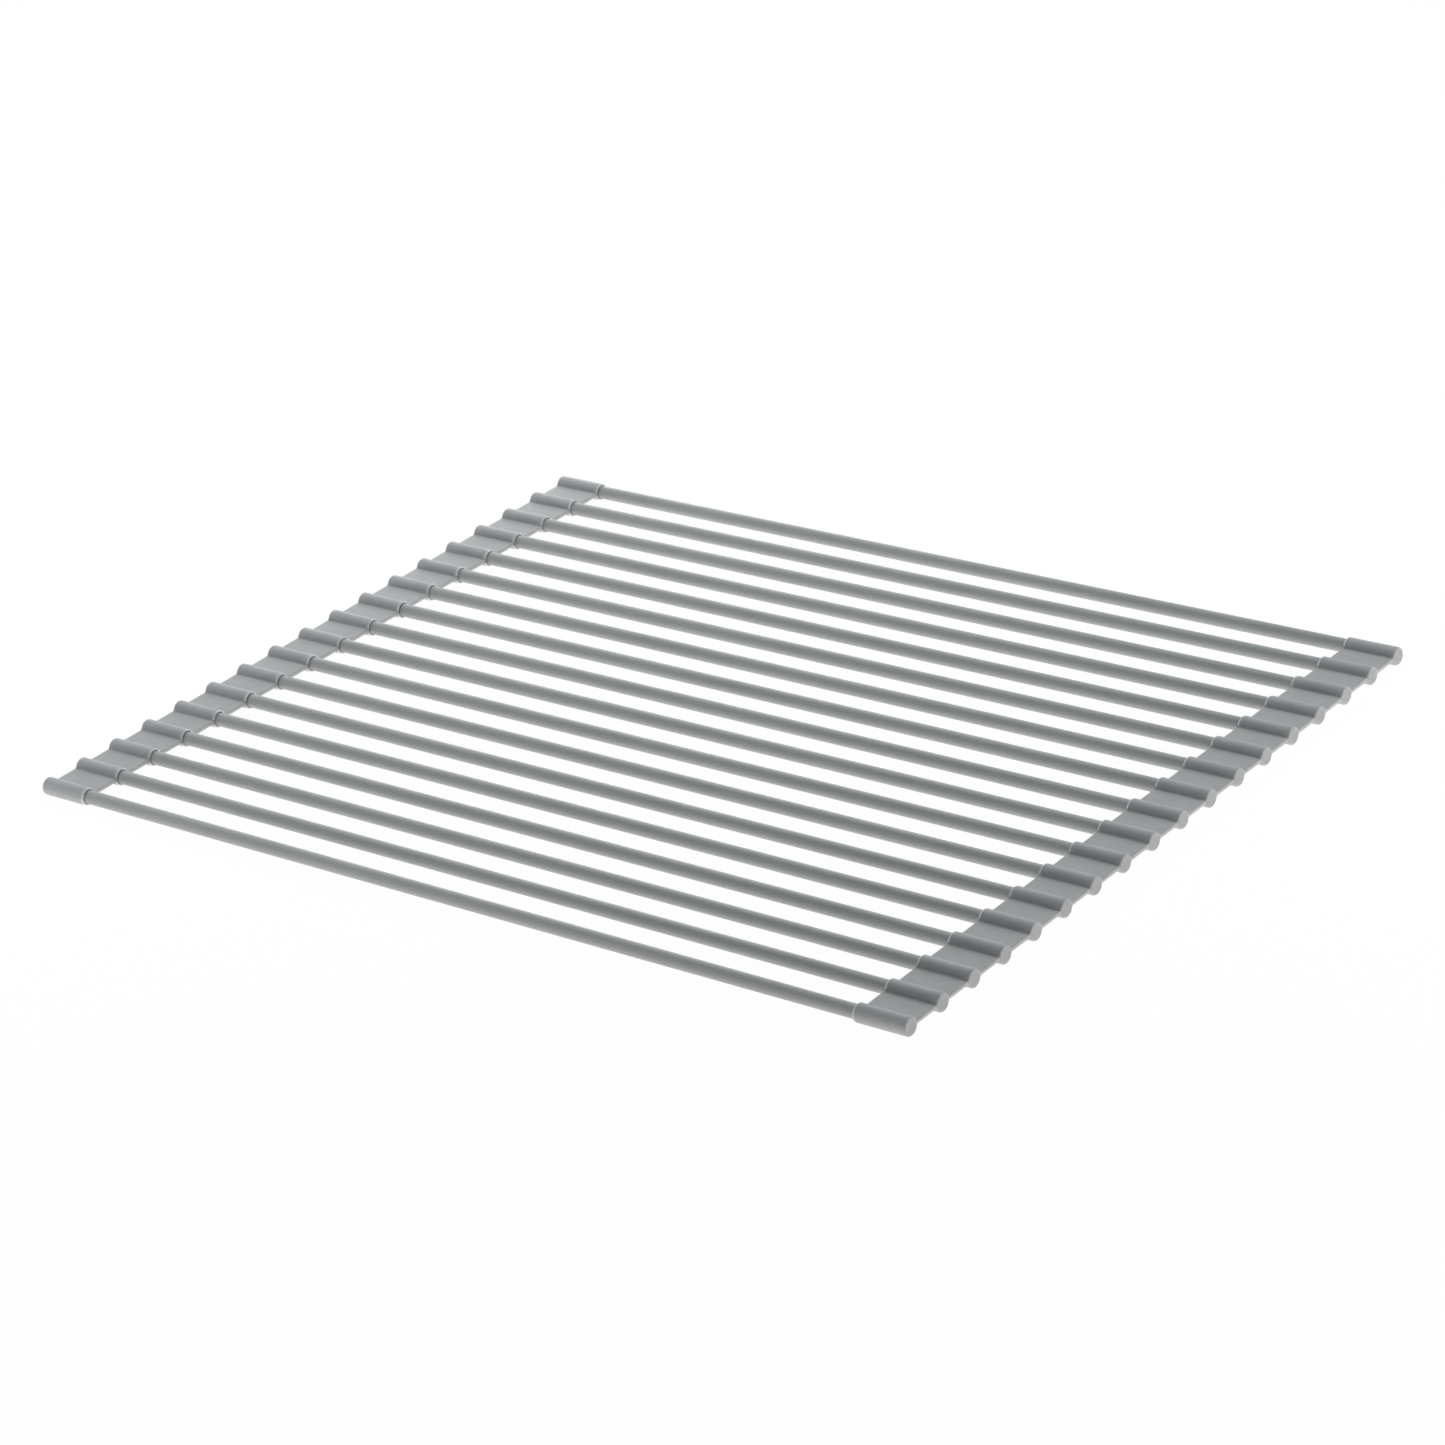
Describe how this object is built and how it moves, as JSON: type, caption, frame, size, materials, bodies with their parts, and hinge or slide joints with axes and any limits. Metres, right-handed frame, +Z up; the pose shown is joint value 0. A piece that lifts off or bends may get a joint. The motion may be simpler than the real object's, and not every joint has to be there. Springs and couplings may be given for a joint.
{
  "type": "roll up dish drying rack",
  "caption": "Roll-up dish drying rack: parallel coated steel rods joined at both ends by flexible silicone strips, laid across a sink to drain dishes.",
  "frame": {"origin": "under the middle of the open rack, on the surface it lies on", "axes": "+X along the rods, +Y from the front row to the back row, +Z up from the surface it lies on"},
  "size_m": [0.5182, 0.3914, 0.0088],
  "materials": {
    "coated_rod": "satin silicone skin",
    "silicone_strip": "matt"
  },
  "bodies": {
    "row_01": {"rod_01": "coated_rod", "left_strip_01": "silicone_strip", "right_strip_01": "silicone_strip"},
    "row_02": {"rod_02": "coated_rod", "left_strip_02": "silicone_strip", "right_strip_02": "silicone_strip"},
    "row_03": {"rod_03": "coated_rod", "left_strip_03": "silicone_strip", "right_strip_03": "silicone_strip"},
    "row_04": {"rod_04": "coated_rod", "left_strip_04": "silicone_strip", "right_strip_04": "silicone_strip"},
    "row_05": {"rod_05": "coated_rod", "left_strip_05": "silicone_strip", "right_strip_05": "silicone_strip"},
    "row_06": {"rod_06": "coated_rod", "left_strip_06": "silicone_strip", "right_strip_06": "silicone_strip"},
    "row_07": {"rod_07": "coated_rod", "left_strip_07": "silicone_strip", "right_strip_07": "silicone_strip"},
    "row_08": {"rod_08": "coated_rod", "left_strip_08": "silicone_strip", "right_strip_08": "silicone_strip"},
    "row_09": {"rod_09": "coated_rod", "left_strip_09": "silicone_strip", "right_strip_09": "silicone_strip"},
    "row_10": {"rod_10": "coated_rod", "left_strip_10": "silicone_strip", "right_strip_10": "silicone_strip"},
    "row_11": {"rod_11": "coated_rod", "left_strip_11": "silicone_strip", "right_strip_11": "silicone_strip"},
    "row_12": {"rod_12": "coated_rod", "left_strip_12": "silicone_strip", "right_strip_12": "silicone_strip"},
    "row_13": {"rod_13": "coated_rod", "left_strip_13": "silicone_strip", "right_strip_13": "silicone_strip"},
    "row_14": {"rod_14": "coated_rod", "left_strip_14": "silicone_strip", "right_strip_14": "silicone_strip"},
    "row_15": {"rod_15": "coated_rod", "left_strip_15": "silicone_strip", "right_strip_15": "silicone_strip"},
    "row_16": {"rod_16": "coated_rod", "left_strip_16": "silicone_strip", "right_strip_16": "silicone_strip"},
    "row_17": {"rod_17": "coated_rod", "left_strip_17": "silicone_strip", "right_strip_17": "silicone_strip"},
    "row_18": {"rod_18": "coated_rod", "left_strip_18": "silicone_strip", "right_strip_18": "silicone_strip"}
  },
  "joints": [
    {"name": "flex_01", "type": "hinge", "parent": "row_02", "child": "row_01", "pos_m": [0, -0.18, 0.00535], "axis": [-1, 0, 0], "range_deg": [0, 30.02], "stiffness_Nm_per_rad": 0.003},
    {"name": "flex_02", "type": "hinge", "parent": "row_03", "child": "row_02", "pos_m": [0, -0.1575, 0.00535], "axis": [-1, 0, 0], "range_deg": [0, 30.02], "stiffness_Nm_per_rad": 0.003},
    {"name": "flex_03", "type": "hinge", "parent": "row_04", "child": "row_03", "pos_m": [0, -0.135, 0.00535], "axis": [-1, 0, 0], "range_deg": [0, 30.08], "stiffness_Nm_per_rad": 0.003},
    {"name": "flex_04", "type": "hinge", "parent": "row_05", "child": "row_04", "pos_m": [0, -0.1125, 0.00535], "axis": [-1, 0, 0], "range_deg": [0, 30.24], "stiffness_Nm_per_rad": 0.003},
    {"name": "flex_05", "type": "hinge", "parent": "row_06", "child": "row_05", "pos_m": [0, -0.09, 0.00535], "axis": [-1, 0, 0], "range_deg": [0, 30.55], "stiffness_Nm_per_rad": 0.003},
    {"name": "flex_06", "type": "hinge", "parent": "row_07", "child": "row_06", "pos_m": [0, -0.0675, 0.00535], "axis": [-1, 0, 0], "range_deg": [0, 31.05], "stiffness_Nm_per_rad": 0.003},
    {"name": "flex_07", "type": "hinge", "parent": "row_08", "child": "row_07", "pos_m": [0, -0.045, 0.00535], "axis": [-1, 0, 0], "range_deg": [0, 31.81], "stiffness_Nm_per_rad": 0.003},
    {"name": "flex_08", "type": "hinge", "parent": "row_09", "child": "row_08", "pos_m": [0, -0.0225, 0.00535], "axis": [-1, 0, 0], "range_deg": [0, 32.86], "stiffness_Nm_per_rad": 0.003},
    {"name": "flex_09", "type": "hinge", "parent": "row_10", "child": "row_09", "pos_m": [0, 0, 0.00535], "axis": [-1, 0, 0], "range_deg": [0, 34.27], "stiffness_Nm_per_rad": 0.003},
    {"name": "flex_10", "type": "hinge", "parent": "row_11", "child": "row_10", "pos_m": [0, 0.0225, 0.00535], "axis": [-1, 0, 0], "range_deg": [0, 36.07], "stiffness_Nm_per_rad": 0.003},
    {"name": "flex_11", "type": "hinge", "parent": "row_11", "child": "row_12", "pos_m": [0, 0.045, 0.00535], "axis": [1, 0, 0], "range_deg": [0, 38.3], "stiffness_Nm_per_rad": 0.003},
    {"name": "flex_12", "type": "hinge", "parent": "row_12", "child": "row_13", "pos_m": [0, 0.0675, 0.00535], "axis": [1, 0, 0], "range_deg": [0, 41.06], "stiffness_Nm_per_rad": 0.003},
    {"name": "flex_13", "type": "hinge", "parent": "row_13", "child": "row_14", "pos_m": [0, 0.09, 0.00535], "axis": [1, 0, 0], "range_deg": [0, 44.36], "stiffness_Nm_per_rad": 0.003},
    {"name": "flex_14", "type": "hinge", "parent": "row_14", "child": "row_15", "pos_m": [0, 0.1125, 0.00535], "axis": [1, 0, 0], "range_deg": [0, 48.25], "stiffness_Nm_per_rad": 0.003},
    {"name": "flex_15", "type": "hinge", "parent": "row_15", "child": "row_16", "pos_m": [0, 0.135, 0.00535], "axis": [1, 0, 0], "range_deg": [0, 52.79], "stiffness_Nm_per_rad": 0.003},
    {"name": "flex_16", "type": "hinge", "parent": "row_16", "child": "row_17", "pos_m": [0, 0.1575, 0.00535], "axis": [1, 0, 0], "range_deg": [0, 58.03], "stiffness_Nm_per_rad": 0.003},
    {"name": "flex_17", "type": "hinge", "parent": "row_17", "child": "row_18", "pos_m": [0, 0.18, 0.00535], "axis": [1, 0, 0], "range_deg": [0, 64.01], "stiffness_Nm_per_rad": 0.003}
  ],
  "couplings": [
    {"joint": "flex_01", "follows": "flex_11", "ratio": 0.7833},
    {"joint": "flex_02", "follows": "flex_11", "ratio": 0.7835},
    {"joint": "flex_03", "follows": "flex_11", "ratio": 0.785},
    {"joint": "flex_04", "follows": "flex_11", "ratio": 0.7891},
    {"joint": "flex_05", "follows": "flex_11", "ratio": 0.7972},
    {"joint": "flex_06", "follows": "flex_11", "ratio": 0.8104},
    {"joint": "flex_07", "follows": "flex_11", "ratio": 0.8301},
    {"joint": "flex_08", "follows": "flex_11", "ratio": 0.8576},
    {"joint": "flex_09", "follows": "flex_11", "ratio": 0.8943},
    {"joint": "flex_10", "follows": "flex_11", "ratio": 0.9413},
    {"joint": "flex_12", "follows": "flex_11", "ratio": 1.0718},
    {"joint": "flex_13", "follows": "flex_11", "ratio": 1.1578},
    {"joint": "flex_14", "follows": "flex_11", "ratio": 1.2594},
    {"joint": "flex_15", "follows": "flex_11", "ratio": 1.378},
    {"joint": "flex_16", "follows": "flex_11", "ratio": 1.5148},
    {"joint": "flex_17", "follows": "flex_11", "ratio": 1.671}
  ]
}
